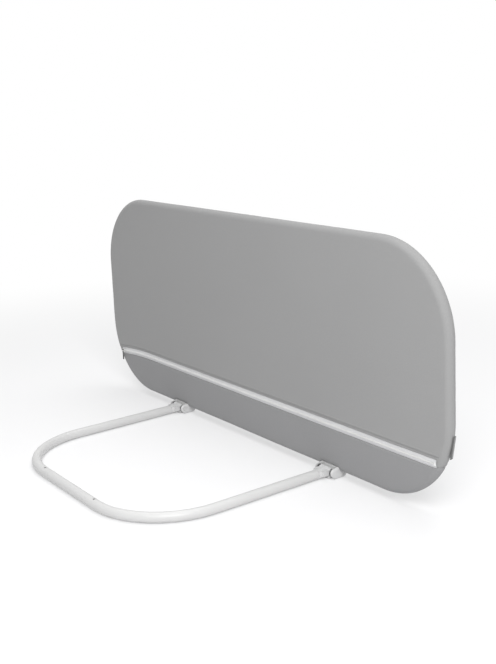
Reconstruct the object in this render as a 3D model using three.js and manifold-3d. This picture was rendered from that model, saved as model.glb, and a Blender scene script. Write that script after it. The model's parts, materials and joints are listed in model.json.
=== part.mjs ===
import * as THREE from 'three';
import { mergeVertices } from 'three/addons/utils/BufferGeometryUtils.js';
import Module from 'manifold-3d';

const wasm = await Module();
wasm.setup();

// A folding bed guard rail, in millimetres. X runs along the rail, -Y points to the bed, Z is up.
// The origin is on the floor, in the middle of the footprint.

// Sizes of the guard and its cover
const guardLength = 1100;
const guardHeight = 450;
const guardFloorGap = 13;
const fabricThickness = 1.2;
const rimFlat = 0.2;
const seamSetback = 4;
const seamRise = 9;

// Sizes of the zip
const zipFromBottom = 85.5;
const zipBandWidth = 15;
const zipLeftInset = 34;
const zipRightInset = 29;
const zipDroop = 9;
const zipDroopLength = 136;
const tapeThickness = 0.8;
const coilWidth = 4;
const coilThickness = 1.6;
const stopLength = 4;
const stopWidth = 6;
const stopThickness = 1;
const sliderInset = 13;
const sliderLength = 11;
const sliderWidth = 8.5;
const sliderThickness = 2;
const sliderTaperShare = 0.55;
const postLength = 2.6;
const postWidth = 2;
const hookReach = 5;
const hookThickness = 1.2;
const pullLength = 22;
const pullWidth = 4.6;
const pullThickness = 1;
const pullHeadRadius = 3.4;

// Sizes of the tag: its two heights above the floor and its reach in front of the middle plane
const tagBottom = 110;
const tagTop = 150;
const tagForward = 1;
const tagThickness = 1;

// Sizes of the tubes
const tubeDiameter = 19;
const tubeWall = 1.2;
const bendRadius = 147;
const fitGap = 0.3;

// Sizes of the base and its snap buttons
const legSpacingShare = 0.46;
const baseDepth = 415;
const baseJointInset = 34;
const baseJointInsert = 34;
const snapHoleInset = 26;
const snapHoleDiameter = 5.2;
const buttonRecess = 0.8;
const buttonFlangeRadius = 3.5;
const buttonFlangeHeight = 1;
const buttonDome = 0.6;
const leafThickness = 0.6;
const leafWidth = 6;
const leafLength = 24;

// Sizes of the guard frame's joints and screws
const frameJointInset = 60;
const frameJointInsert = 40;
const frameScrewInset = 20;
const frameScrewRadius = 2;
const frameScrewHeadRadius = 3.6;
const frameScrewHeadHeight = 1.8;
const frameScrewLength = 6;

// Sizes of the hinge pins and the fittings on the base
const pivotSetback = 19.2;
const pivotHeight = 12;
const pinDiameter = 5;
const pinHeadRadius = 4;
const pinHeadHeight = 1.8;
const pinEndInset = 1;
const barrelRadius = 7.4;
const barrelLength = 29;
const barrelChamfer = 0.5;
const shoulderSetback = 43;
const spigotLength = 28;
const webHeightShare = 0.7;
const webRound = 5.5;
const footReach = 6;
const footHeight = 6;
const stopGap = 0.4;
const fittingScrewRadius = 2;
const fittingScrewHeadRadius = 3;
const fittingScrewLength = 9;
const fittingScrewInset = 14;

// Sizes of the lock tabs and their springs
const tabThickness = 2.6;
const tabTravel = 2;
const tabInset = 0.5;
const keyLow = 5.3;
const keyHigh = 6.3;
const keyHalfWidth = 1.2;
const keyLength = 3.6;
const dogHeight = 1;
const dogHalfWidth = 1.2;
const dogLow = 4;
const dogHigh = 6.1;
const springPocketRadius = 4.6;
const springPocketDepth = 6.5;
const springWire = 0.9;
const springRadius = 3.7;
const springTurns = 3;

// Sizes of the housings and their lugs
const housingLength = 49;
const housingTop = 21.5;
const housingDepth = 10;
const housingLift = 0.4;
const earThickness = 3.7;
const earMargin = 0.6;
const frontRound = 4;
const topRound = 4;
const bottomRound = 7.5;
const endRound = 2.5;
const lugHalfLength = 14;
const lugThickness = 3;
const lugFloor = 5;
const lugScrewReach = 8.5;
const housingScrewRadius = 2;
const housingScrewHeadRadius = 3.6;
const housingScrewHeadHeight = 2.4;
const housingScrewHeight = 10.5;
const housingScrewDepth = 9;

// Numbers of sides and steps
const tubeSides = 16;
const frameSides = 12;
const screwSides = 8;
const barrelSides = 20;
const wireSides = 5;
const eyeSides = 10;
const bendSteps = 10;
const rimSteps = 4;
const roundSteps = 4;
const earSteps = 8;
const endRoundSteps = 3;
const springTurnSteps = 8;
const droopSteps = 6;
const pullHeadSteps = 10;

// Places worked out from the sizes above
const overrun = 5;
const halfGap = fitGap / 2;
const tubeRadius = tubeDiameter / 2;
const boreRadius = tubeRadius - tubeWall;
const insertRadius = boreRadius - fitGap;
const drawnBoreRadius = insertRadius - tubeWall;
const rimRadius = tubeRadius + fitGap + fabricThickness;
const seamPlane = rimRadius - seamSetback;
const frameHalfWidth = guardLength / 2 - rimRadius;
const frameBottom = guardFloorGap + rimRadius;
const frameTop = guardFloorGap + guardHeight - rimRadius;
const frameJointReach = frameHalfWidth - bendRadius - frameJointInset;
const frameScrewReach = frameJointReach + frameScrewInset;
const legOffset = (guardLength * legSpacingShare) / 2;
const baseJointReach = legOffset - bendRadius - baseJointInset;
const snapPlace = new THREE.Vector3(baseJointReach + snapHoleInset, -baseDepth, tubeRadius);
const buttonRadius = snapHoleDiameter / 2 - fitGap;
const buttonTop = tubeRadius - buttonRecess;
const flangeTop = Math.sqrt(drawnBoreRadius ** 2 - buttonFlangeRadius ** 2) - fitGap;
const flangeBottom = flangeTop - buttonFlangeHeight;
const leftHinge = new THREE.Vector3(-legOffset, -pivotSetback, pivotHeight);
const rightHinge = new THREE.Vector3(legOffset, -pivotSetback, pivotHeight);
const onPin = new THREE.Vector3();
const shoulder = pivotSetback - shoulderSetback;
const tubeAxisDrop = tubeRadius - pivotHeight;
const pinRadius = pinDiameter / 2;
const pinBoreRadius = pinRadius + fitGap;
const barrelHalf = barrelLength / 2 - fitGap;
const tabStart = barrelHalf + tabTravel + 2 * fitGap;
const tabRadius = barrelRadius - tabInset;
const housingHalf = housingLength / 2;
const housingFace = barrelRadius + fitGap;
const housingBack = pivotSetback + housingDepth;
const earInner = housingHalf - earThickness;
const earRadius = barrelRadius + earMargin;
const lugScrewHoleRadius = housingScrewRadius + fitGap;
const notchHalf = housingHalf + 2 * fitGap;
const zipLeftReach = guardLength / 2 - zipLeftInset;
const zipRightReach = guardLength / 2 - zipRightInset;
const zipDroopStart = zipLeftReach - zipDroopLength;
const zipHeight = guardFloorGap + zipFromBottom;
const tapeFront = -rimRadius + fitGap;
const coilFront = -rimRadius - coilThickness / 2;
const coilRight = zipRightReach - stopLength - 2 * fitGap;
const sliderRestX = sliderInset - zipLeftReach;
const sliderPlace = new THREE.Vector3(sliderRestX, coilFront - fitGap, zipHeight - droopAt(sliderRestX));
const frontReach = baseDepth + tubeRadius;

const finishes = {
  paintedSteel: { color: 0xdcdcdc, roughness: 0.45, metalness: 0.1 },
  greyPlastic: { color: 0xd6d6d6, roughness: 0.55, metalness: 0 },
  zincSteel: { color: 0xb4b6b8, roughness: 0.35, metalness: 0.9 },
  darkSteel: { color: 0x5a5a5c, roughness: 0.5, metalness: 0.7 },
  fabric: { color: 0x9c9c9c, roughness: 0.95, metalness: 0 },
  lowerFabric: { color: 0x8f9190, roughness: 0.95, metalness: 0 },
  tape: { color: 0xc9c9c8, roughness: 0.85, metalness: 0 },
  coil: { color: 0xdededc, roughness: 0.5, metalness: 0 },
  darkTrim: { color: 0x676767, roughness: 0.9, metalness: 0 },
};

// Turns that lay a drawn outline across the rail, or stand it up along the rail
const axisX = new THREE.Vector3(1, 0, 0);
const axisY = new THREE.Vector3(0, 1, 0);
const axisZ = new THREE.Vector3(0, 0, 1);
const acrossRail = new THREE.Matrix4().makeBasis(axisY, axisZ, axisX);
const alongRail = new THREE.Matrix4().makeBasis(axisX, axisZ, axisY.clone().negate());

// A closed solid for cutting and joining, made of a geometry's welded triangles
function solidOf(geometry) {
  const bare = geometry.clone();
  bare.deleteAttribute('normal');
  bare.deleteAttribute('uv');
  const welded = mergeVertices(bare);
  const corners = welded.index.array;
  const kept = [];
  for (let i = 0; i < corners.length; i += 3) {
    const [a, b, c] = [corners[i], corners[i + 1], corners[i + 2]];
    if (a !== b && b !== c && c !== a) kept.push(a, b, c);
  }
  const vertProperties = Float32Array.from(welded.attributes.position.array);
  const triVerts = Uint32Array.from(kept);
  return new wasm.Manifold(new wasm.Mesh({ numProp: 3, vertProperties, triVerts }));
}

function geometryOf(solid) {
  const mesh = solid.getMesh();
  const geometry = new THREE.BufferGeometry();
  geometry.setAttribute('position', new THREE.BufferAttribute(mesh.vertProperties, 3));
  geometry.setIndex(new THREE.BufferAttribute(mesh.triVerts, 1));
  geometry.computeVertexNormals();
  return geometry;
}

function pieceOf(name, shape, finish) {
  const geometry = shape.isBufferGeometry ? shape : geometryOf(shape);
  const mesh = new THREE.Mesh(geometry, new THREE.MeshStandardMaterial(finish));
  mesh.name = name;
  return mesh;
}

function boxBetween(lowX, lowY, lowZ, highX, highY, highZ) {
  const box = new THREE.BoxGeometry(highX - lowX, highY - lowY, highZ - lowZ);
  box.translate((lowX + highX) / 2, (lowY + highY) / 2, (lowZ + highZ) / 2);
  return solidOf(box);
}

// A round bar between two distances along X, Y or Z, about an axis through a given place
function barAlong(axis, radius, from, to, place, sides = tubeSides) {
  const bar = new THREE.CylinderGeometry(radius, radius, to - from, sides);
  bar.translate(0, (from + to) / 2, 0);
  if (axis === axisX) bar.rotateZ(-Math.PI / 2);
  if (axis === axisZ) bar.rotateX(Math.PI / 2);
  bar.translate(place.x, place.y, place.z);
  return solidOf(bar);
}

// A turned piece: pairs of radius and distance, going round the section, about the axis X or Z
function turned(axis, pairs, sides) {
  const outline = pairs.map(([radius, distance]) => new THREE.Vector2(radius, distance));
  const lathe = new THREE.LatheGeometry(outline, sides);
  if (axis === axisX) lathe.rotateZ(-Math.PI / 2);
  if (axis === axisZ) lathe.rotateX(Math.PI / 2);
  return lathe;
}

function circlePoints(radius, sides) {
  const points = [];
  for (let i = 0; i < sides; i += 1) {
    const angle = (2 * Math.PI * i) / sides;
    points.push(new THREE.Vector2(radius * Math.cos(angle), radius * Math.sin(angle)));
  }
  return points;
}

function arcPoints(centreX, centreY, radius, fromAngle, toAngle, steps) {
  const points = [];
  for (let i = 0; i <= steps; i += 1) {
    const angle = fromAngle + ((toAngle - fromAngle) * i) / steps;
    const x = centreX + radius * Math.cos(angle);
    const y = centreY + radius * Math.sin(angle);
    points.push(new THREE.Vector2(x, y));
  }
  return points;
}

function plate(points, depth, turn) {
  const outline = new THREE.Shape(points);
  const geometry = new THREE.ExtrudeGeometry(outline, { depth, bevelEnabled: false });
  geometry.applyMatrix4(turn);
  return geometry;
}

// A route of stations, each with its point and direction, that a section is swept along
class SteppedRoute extends THREE.Curve {
  constructor(stations) {
    super();
    this.stations = stations;
  }

  stationAt(share) {
    return this.stations[Math.round(share * (this.stations.length - 1))];
  }

  getPointAt(share, target = new THREE.Vector3()) {
    return target.copy(this.stationAt(share).point);
  }

  getTangentAt(share, target = new THREE.Vector3()) {
    return target.copy(this.stationAt(share).direction);
  }
}

// Straight runs between corners, with every corner bent to one radius
function bentRoute(corners, radius, steps) {
  const first = corners[1].clone().sub(corners[0]).normalize();
  const stations = [{ point: corners[0], direction: first }];
  for (let i = 1; i < corners.length - 1; i += 1) {
    const before = corners[i].clone().sub(corners[i - 1]).normalize();
    const after = corners[i + 1].clone().sub(corners[i]).normalize();
    const turn = before.angleTo(after);
    const inward = after.clone().addScaledVector(before, -Math.cos(turn)).normalize();
    const start = corners[i].clone().addScaledVector(before, -radius * Math.tan(turn / 2));
    const centre = start.clone().addScaledVector(inward, radius);
    for (let step = 0; step <= steps; step += 1) {
      const angle = (turn * step) / steps;
      const point = centre.clone();
      point.addScaledVector(inward, -radius * Math.cos(angle));
      point.addScaledVector(before, radius * Math.sin(angle));
      const direction = before.clone().multiplyScalar(Math.cos(angle));
      direction.addScaledVector(inward, Math.sin(angle));
      stations.push({ point, direction });
    }
  }
  const last = corners[corners.length - 1];
  const end = last.clone().sub(corners[corners.length - 2]).normalize();
  stations.push({ point: last, direction: end });
  return new SteppedRoute(stations);
}

function sweep(section, route) {
  const steps = route.stations.length - 1;
  return new THREE.ExtrudeGeometry(section, { steps, bevelEnabled: false, extrudePath: route });
}

function bentTube(corners, sides) {
  const section = new THREE.Shape(circlePoints(tubeRadius, sides));
  section.holes.push(new THREE.Path(circlePoints(boreRadius, sides)));
  return sweep(section, bentRoute(corners, bendRadius, bendSteps));
}

// A straight tube whose two ends are drawn down to push into its neighbours
function swagedTube(halfLength, insert, sides) {
  const end = halfLength + insert;
  const joint = halfLength - halfGap;
  const step = joint - tubeWall;
  const pairs = [
    [insertRadius, -end], [insertRadius, -joint], [tubeRadius, -joint],
    [tubeRadius, joint], [insertRadius, joint], [insertRadius, end],
    [drawnBoreRadius, end], [drawnBoreRadius, step], [boreRadius, step - tubeWall],
    [boreRadius, tubeWall - step], [drawnBoreRadius, -step], [drawnBoreRadius, -end],
    [insertRadius, -end],
  ];
  return turned(axisX, pairs, sides);
}

// Base: a U of tube that lies under the mattress, in three lengths that push together

function snapHole(side) {
  const place = new THREE.Vector3(side * snapPlace.x, snapPlace.y, 0);
  return barAlong(axisZ, snapHoleDiameter / 2, tubeRadius, tubeDiameter + overrun, place, frameSides);
}

function baseFrontTube() {
  const tube = swagedTube(baseJointReach, baseJointInsert, tubeSides);
  tube.translate(0, -baseDepth, tubeRadius);
  const drilled = solidOf(tube).subtract(snapHole(1)).subtract(snapHole(-1));
  return pieceOf('base_front_tube', drilled, finishes.paintedSteel);
}

function baseLeg(name, side) {
  const corners = [
    new THREE.Vector3(side * (baseJointReach + halfGap), -baseDepth, tubeRadius),
    new THREE.Vector3(side * legOffset, -baseDepth, tubeRadius),
    new THREE.Vector3(side * legOffset, -shoulderSetback - fitGap, tubeRadius),
  ];
  const tube = solidOf(bentTube(corners, tubeSides));
  const drilled = tube.subtract(snapHole(side)).subtract(fittingScrewHole(side));
  return pieceOf(name, drilled, finishes.paintedSteel);
}

// A snap button: a pin with a flange under the tube wall, its tip a little below the surface

function snapButton(name, side) {
  const pairs = [
    [0, flangeBottom], [buttonFlangeRadius, flangeBottom], [buttonFlangeRadius, flangeTop],
    [buttonRadius, flangeTop], [buttonRadius, buttonTop - buttonDome],
    [buttonRadius - buttonDome, buttonTop], [0, buttonTop],
  ];
  const button = pieceOf(name, turned(axisZ, pairs, frameSides), finishes.darkSteel);
  button.position.set(side * snapPlace.x, snapPlace.y, snapPlace.z);
  return button;
}

// The leaf spring under a snap button: a strip folded to a V that lies in the drawn tube

function snapSpring(name, side) {
  const high = flangeBottom - fitGap;
  const low = fitGap - Math.sqrt(drawnBoreRadius ** 2 - (leafWidth / 2) ** 2);
  const fold = (high + low) / 2;
  const tip = buttonFlangeRadius;
  const points = [
    new THREE.Vector2(tip, high), new THREE.Vector2(-tip, high),
    new THREE.Vector2(tip - leafLength, fold + leafThickness / 2),
    new THREE.Vector2(tip - leafLength, fold - leafThickness / 2),
    new THREE.Vector2(-tip, low), new THREE.Vector2(tip, low),
    new THREE.Vector2(tip, low + leafThickness), new THREE.Vector2(-tip, low + leafThickness),
    new THREE.Vector2(tip - leafLength + 2 * leafThickness, fold),
    new THREE.Vector2(-tip, high - leafThickness), new THREE.Vector2(tip, high - leafThickness),
  ];
  const leaf = plate(points, leafWidth, alongRail);
  leaf.translate(0, leafWidth / 2, 0);
  if (side < 0) leaf.rotateZ(Math.PI);
  const spring = pieceOf(name, leaf, finishes.zincSteel);
  spring.position.set(side * snapPlace.x, snapPlace.y, snapPlace.z);
  return spring;
}

// Hinge, drawn about its own pin: X along the pin, the leg towards -Y, the guard towards +Y

// Screws that hold the fittings in the leg tubes, flush with the underside

function fittingScrewHole(side) {
  const place = new THREE.Vector3(side * legOffset, -shoulderSetback - fittingScrewInset, 0);
  return barAlong(axisZ, fittingScrewHeadRadius + fitGap, -overrun, tubeWall * 2, place, screwSides);
}

function keySlots() {
  const reach = barrelHalf - keyLength - fitGap;
  const half = keyHalfWidth + fitGap;
  const slots = [];
  for (const side of [-1, 1]) {
    for (const level of [-1, 1]) {
      const ends = [side * reach, side * (barrelHalf + overrun)].sort((a, b) => a - b);
      const heights = [level * (keyLow - fitGap), level * (keyHigh + fitGap)].sort((a, b) => a - b);
      slots.push(boxBetween(ends[0], -half, heights[0], ends[1], half, heights[1]));
    }
  }
  return slots;
}

// The leg's end fitting: a T with a spigot in the tube, a neck, a web and the hinge barrel
function legFitting(name, place) {
  const pairs = [
    [0, -barrelHalf], [barrelRadius - barrelChamfer, -barrelHalf],
    [barrelRadius, barrelChamfer - barrelHalf], [barrelRadius, barrelHalf - barrelChamfer],
    [barrelRadius - barrelChamfer, barrelHalf], [0, barrelHalf],
  ];
  const neckAxis = new THREE.Vector3(0, 0, tubeAxisDrop);
  const webHalf = barrelRadius * webHeightShare;
  const webReach = tubeRadius - tubeWall;
  const webCurve = arcPoints(webReach + webRound, shoulder, webRound, Math.PI, Math.PI / 2, roundSteps);
  const rightEdge = [...webCurve, new THREE.Vector2(webReach + webRound, 0)];
  const leftEdge = rightEdge.map((point) => new THREE.Vector2(-point.x, point.y)).reverse();
  const web = plate([...rightEdge, ...leftEdge], 2 * webHalf, new THREE.Matrix4());
  web.translate(0, 0, -webHalf);
  const footTop = footHeight - pivotHeight;
  let fitting = solidOf(turned(axisX, pairs, barrelSides));
  fitting = fitting.add(barAlong(axisY, tubeRadius, shoulder, 0, neckAxis));
  fitting = fitting.add(barAlong(axisY, insertRadius, shoulder - spigotLength, shoulder + overrun, neckAxis));
  fitting = fitting.add(solidOf(web));
  const foot = boxBetween(-barrelHalf, -footReach, -pivotHeight, barrelHalf, housingFace - stopGap, footTop);
  fitting = fitting.add(foot);
  fitting = fitting.subtract(barAlong(axisX, pinBoreRadius, -barrelLength, barrelLength, onPin));
  const pocket = barrelHalf - springPocketDepth;
  fitting = fitting.subtract(barAlong(axisX, springPocketRadius, pocket, barrelLength, onPin));
  fitting = fitting.subtract(barAlong(axisX, springPocketRadius, -barrelLength, -pocket, onPin));
  const screwPlace = new THREE.Vector3(0, shoulder - fittingScrewInset, tubeAxisDrop);
  fitting = fitting.subtract(barAlong(axisZ, fittingScrewRadius + fitGap, -tubeDiameter, 0, screwPlace, screwSides));
  for (const slot of keySlots()) fitting = fitting.subtract(slot);
  const piece = pieceOf(name, fitting, finishes.greyPlastic);
  piece.position.copy(place);
  return piece;
}

function fittingScrew(name, side) {
  const headTop = tubeWall;
  const bottom = fitGap;
  const pairs = [
    [0, bottom], [fittingScrewHeadRadius, bottom], [fittingScrewHeadRadius, headTop],
    [fittingScrewRadius, headTop], [fittingScrewRadius, fittingScrewLength], [0, fittingScrewLength],
  ];
  const piece = pieceOf(name, turned(axisZ, pairs, screwSides), finishes.zincSteel);
  piece.position.set(side * legOffset, -shoulderSetback - fittingScrewInset, 0);
  return piece;
}

// A lock tab: a keyed ring beside the barrel, pushed out by its spring and squeezed in by hand

function lockTab(name, place, side) {
  const end = tabStart + tabThickness;
  const pairs = [
    [pinBoreRadius, tabStart], [tabRadius, tabStart], [tabRadius, end - barrelChamfer],
    [tabRadius - barrelChamfer, end], [pinBoreRadius, end], [pinBoreRadius, tabStart],
  ];
  let tab = solidOf(turned(axisX, pairs, barrelSides));
  for (const level of [-1, 1]) {
    const heights = [level * keyLow, level * keyHigh].sort((a, b) => a - b);
    const back = tabStart - keyLength + fitGap;
    tab = tab.add(boxBetween(back, -keyHalfWidth, heights[0], end - fitGap, keyHalfWidth, heights[1]));
    const dogs = [level * dogLow, level * dogHigh].sort((a, b) => a - b);
    const dogEnd = end + dogHeight;
    tab = tab.add(boxBetween(end - fitGap, -dogHalfWidth, dogs[0], dogEnd, dogHalfWidth, dogs[1]));
    tab = tab.add(boxBetween(end - fitGap, dogs[0], -dogHalfWidth, dogEnd, dogs[1], dogHalfWidth));
  }
  const piece = pieceOf(name, tab, finishes.greyPlastic);
  piece.position.copy(place);
  if (side < 0) piece.rotation.z = Math.PI;
  return piece;
}

// The coil spring behind a lock tab, round the pin

function lockSpring(name, place, side) {
  const start = barrelHalf - springPocketDepth + fitGap + springWire / 2;
  const end = tabStart - fitGap - springWire / 2;
  const count = springTurns * springTurnSteps;
  const sweepAngle = 2 * Math.PI * springTurns;
  const pitch = (end - start) / sweepAngle;
  const stations = [];
  for (let i = 0; i <= count; i += 1) {
    const angle = (sweepAngle * i) / count;
    const across = springRadius * Math.cos(angle);
    const up = springRadius * Math.sin(angle);
    const point = new THREE.Vector3(start + pitch * angle, across, up);
    const direction = new THREE.Vector3(pitch, -up, across).normalize();
    stations.push({ point, direction });
  }
  const section = new THREE.Shape(circlePoints(springWire / 2, wireSides));
  const piece = pieceOf(name, sweep(section, new SteppedRoute(stations)), finishes.zincSteel);
  piece.position.copy(place);
  if (side < 0) piece.rotation.z = Math.PI;
  return piece;
}

// The hinge pin: its head lies in the ear that faces the other hinge

function hingePin(name, place, side) {
  const headEnd = housingHalf - fitGap;
  const tip = housingHalf - pinEndInset;
  const pairs = [
    [0, -headEnd], [pinHeadRadius, -headEnd], [pinHeadRadius, pinHeadHeight - headEnd],
    [pinRadius, pinHeadHeight - headEnd], [pinRadius, tip], [0, tip],
  ];
  const piece = pieceOf(name, turned(axisX, pairs, frameSides), finishes.zincSteel);
  piece.position.copy(place);
  if (side < 0) piece.rotation.z = Math.PI;
  return piece;
}

// The housing: two half shells that clamp the guard's lug, with ears on both sides of the barrel

function housingBlock() {
  const bottom = housingLift - pivotHeight;
  const top = housingTop - pivotHeight;
  const frontY = housingFace + frontRound;
  const frontZ = top - frontRound;
  const lean = Math.acos((earRadius - frontRound) / Math.hypot(frontY, frontZ));
  const slope = lean - Math.atan2(frontY, frontZ);
  const toe = Math.acos(-earRadius / bottom);
  const quarter = Math.PI / 2;
  const points = [
    new THREE.Vector2(0, bottom),
    ...arcPoints(0, 0, earRadius, -quarter - toe, slope - 3 * quarter, earSteps),
    ...arcPoints(frontY, frontZ, frontRound, quarter + slope, quarter, roundSteps),
    ...arcPoints(housingBack - topRound, top - topRound, topRound, quarter, 0, roundSteps),
    ...arcPoints(housingBack - bottomRound, bottom + bottomRound, bottomRound, 0, -quarter, roundSteps),
  ];
  const block = new THREE.ExtrudeGeometry(new THREE.Shape(points), {
    depth: housingLength - 2 * endRound,
    bevelThickness: endRound,
    bevelSize: endRound,
    bevelOffset: -endRound,
    bevelSegments: endRoundSteps,
  });
  block.translate(0, 0, endRound - housingHalf);
  block.applyMatrix4(acrossRail);
  let solid = solidOf(block);
  const low = -pivotHeight - overrun;
  const high = housingTop + overrun;
  solid = solid.subtract(boxBetween(-earInner, -barrelRadius - overrun, low, earInner, housingFace, high));
  solid = solid.subtract(barAlong(axisX, pinBoreRadius, -housingHalf - overrun, tipEnd(), onPin, frameSides));
  const headPocket = pinHeadHeight + 2 * fitGap - housingHalf;
  solid = solid.subtract(barAlong(axisX, pinHeadRadius + fitGap, -housingHalf - overrun, headPocket, onPin, frameSides));
  const cradle = new THREE.Vector3(0, pivotSetback, frameBottom - pivotHeight);
  const cradleRadius = tubeRadius + fitGap;
  solid = solid.subtract(barAlong(axisX, cradleRadius, -housingLength, housingLength, cradle, frameSides));
  const lugHalf = lugThickness / 2 + fitGap;
  const lugEnd = lugHalfLength + fitGap;
  const lugLow = lugFloor - fitGap - pivotHeight;
  solid = solid.subtract(boxBetween(-lugEnd, pivotSetback - lugHalf, lugLow, lugEnd, pivotSetback + lugHalf, high));
  return solid;
}

function tipEnd() {
  return housingHalf - pinEndInset + fitGap;
}

function screwBores() {
  const bores = [];
  const outside = housingBack + overrun;
  for (const side of [-1, 1]) {
    const place = new THREE.Vector3(side * lugScrewReach, 0, housingScrewHeight - pivotHeight);
    const depth = pivotSetback - housingScrewDepth - fitGap;
    bores.push(barAlong(axisY, lugScrewHoleRadius, depth, outside, place, screwSides));
    const seat = housingBack - housingScrewHeadHeight - 2 * fitGap;
    bores.push(barAlong(axisY, housingScrewHeadRadius + fitGap, seat, outside, place, screwSides));
  }
  return bores;
}

function housingHalfShell(name, place, side, isFront) {
  const low = -pivotHeight - overrun;
  const high = housingTop + overrun;
  const reach = housingHalf + overrun;
  const ranges = isFront
    ? [-earRadius - overrun, pivotSetback - halfGap]
    : [pivotSetback + halfGap, housingBack + overrun];
  let shell = housingBlock();
  if (side < 0) shell = shell.mirror([1, 0, 0]);
  shell = shell.intersect(boxBetween(-reach, ranges[0], low, reach, ranges[1], high));
  for (const bore of screwBores()) shell = shell.subtract(bore);
  const piece = pieceOf(name, shell, finishes.greyPlastic);
  piece.position.copy(place);
  return piece;
}

// The lug under the guard's bottom tube, a steel plate that the housing's halves clamp
function hingeLug(name, place) {
  const top = frameBottom - tubeRadius - fitGap - pivotHeight;
  const low = lugFloor - pivotHeight;
  const half = lugThickness / 2;
  let lug = boxBetween(-lugHalfLength, pivotSetback - half, low, lugHalfLength, pivotSetback + half, top);
  for (const side of [-1, 1]) {
    const hole = new THREE.Vector3(side * lugScrewReach, pivotSetback, housingScrewHeight - pivotHeight);
    lug = lug.subtract(barAlong(axisY, lugScrewHoleRadius, -overrun, overrun, hole, screwSides));
  }
  const piece = pieceOf(name, lug, finishes.paintedSteel);
  piece.position.copy(place);
  return piece;
}

function housingScrew(name, place, side) {
  const headTop = housingDepth - 2 * fitGap;
  const headBottom = headTop - housingScrewHeadHeight;
  const pairs = [
    [0, -housingScrewDepth], [housingScrewRadius, -housingScrewDepth], [housingScrewRadius, headBottom],
    [housingScrewHeadRadius, headBottom], [housingScrewHeadRadius, headTop], [0, headTop],
  ];
  const piece = pieceOf(name, turned(axisY, pairs, screwSides), finishes.zincSteel);
  piece.position.set(place.x + side * lugScrewReach, 0, housingScrewHeight);
  return piece;
}

// Guard frame: two C bends joined by a top and a bottom tube
function guardSide(name, side) {
  const joint = side * (frameJointReach + halfGap);
  const corners = [
    new THREE.Vector3(joint, 0, frameTop),
    new THREE.Vector3(side * frameHalfWidth, 0, frameTop),
    new THREE.Vector3(side * frameHalfWidth, 0, frameBottom),
    new THREE.Vector3(joint, 0, frameBottom),
  ];
  let tube = solidOf(bentTube(corners, frameSides));
  for (const hole of frameScrewHoles(side)) tube = tube.subtract(hole);
  return pieceOf(name, tube, finishes.paintedSteel);
}

function guardRun(name, height) {
  const tube = swagedTube(frameJointReach, frameJointInsert, frameSides);
  tube.translate(0, 0, height);
  let solid = solidOf(tube);
  for (const side of [-1, 1]) {
    for (const hole of frameScrewHoles(side)) solid = solid.subtract(hole);
  }
  return pieceOf(name, solid, finishes.paintedSteel);
}

function frameScrewHoles(side) {
  const place = new THREE.Vector3(side * frameScrewReach, 0, 0);
  const radius = frameScrewRadius + fitGap;
  return [
    barAlong(axisZ, radius, frameBottom, frameBottom + tubeDiameter, place, screwSides),
    barAlong(axisZ, radius, frameTop - tubeDiameter, frameTop, place, screwSides),
  ];
}

// A screw through one of the frame's joints, driven from inside the loop
function frameScrew(name, side, isTop) {
  const seat = tubeRadius + fitGap;
  const pairs = [
    [0, seat - frameScrewLength], [frameScrewRadius, seat - frameScrewLength], [frameScrewRadius, seat],
    [frameScrewHeadRadius, seat], [frameScrewHeadRadius, seat + frameScrewHeadHeight],
    [0, seat + frameScrewHeadHeight],
  ];
  const piece = pieceOf(name, turned(axisZ, pairs, screwSides), finishes.zincSteel);
  piece.position.set(side * frameScrewReach, 0, isTop ? frameTop : frameBottom);
  if (isTop) piece.rotation.x = Math.PI;
  return piece;
}

// Cover: a fabric envelope drawn over the frame, sewn at the rim and zipped near the bottom
function frameOutline() {
  const nearX = frameHalfWidth - bendRadius;
  const lowZ = frameBottom + bendRadius;
  const highZ = frameTop - bendRadius;
  const quarter = Math.PI / 2;
  return [
    ...arcPoints(nearX, lowZ, bendRadius, -quarter, 0, bendSteps),
    ...arcPoints(nearX, highZ, bendRadius, 0, quarter, bendSteps),
    ...arcPoints(-nearX, highZ, bendRadius, quarter, 2 * quarter, bendSteps),
    ...arcPoints(-nearX, lowZ, bendRadius, 2 * quarter, 3 * quarter, bendSteps),
  ];
}

function roundedSlab(radius) {
  const geometry = new THREE.ExtrudeGeometry(new THREE.Shape(frameOutline()), {
    depth: rimFlat,
    bevelThickness: radius - rimFlat / 2,
    bevelSize: radius,
    bevelSegments: rimSteps,
  });
  geometry.translate(0, 0, -rimFlat / 2);
  geometry.applyMatrix4(alongRail);
  return solidOf(geometry);
}

function droopAt(x) {
  const share = Math.max(0, (-x - zipDroopStart) / (zipLeftReach - zipDroopStart));
  return zipDroop * share ** 2;
}

// Places along the zip, close together where its left end droops
function zipPlaces(leftReach, rightReach) {
  const places = [];
  for (let i = 0; i <= droopSteps; i += 1) {
    places.push(-leftReach + ((leftReach - zipDroopStart) * i) / droopSteps);
  }
  places.push(rightReach);
  return places;
}

// A strip that follows the zip, between two heights above its centre line
function zipStrip(low, high, leftReach, rightReach, front, back) {
  const places = zipPlaces(leftReach, rightReach);
  const lower = places.map((x) => new THREE.Vector2(x, zipHeight - droopAt(x) + low));
  const upper = places.map((x) => new THREE.Vector2(x, zipHeight - droopAt(x) + high)).reverse();
  const strip = plate([...lower, ...upper], back - front, alongRail);
  strip.translate(0, back, 0);
  return strip;
}

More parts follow.
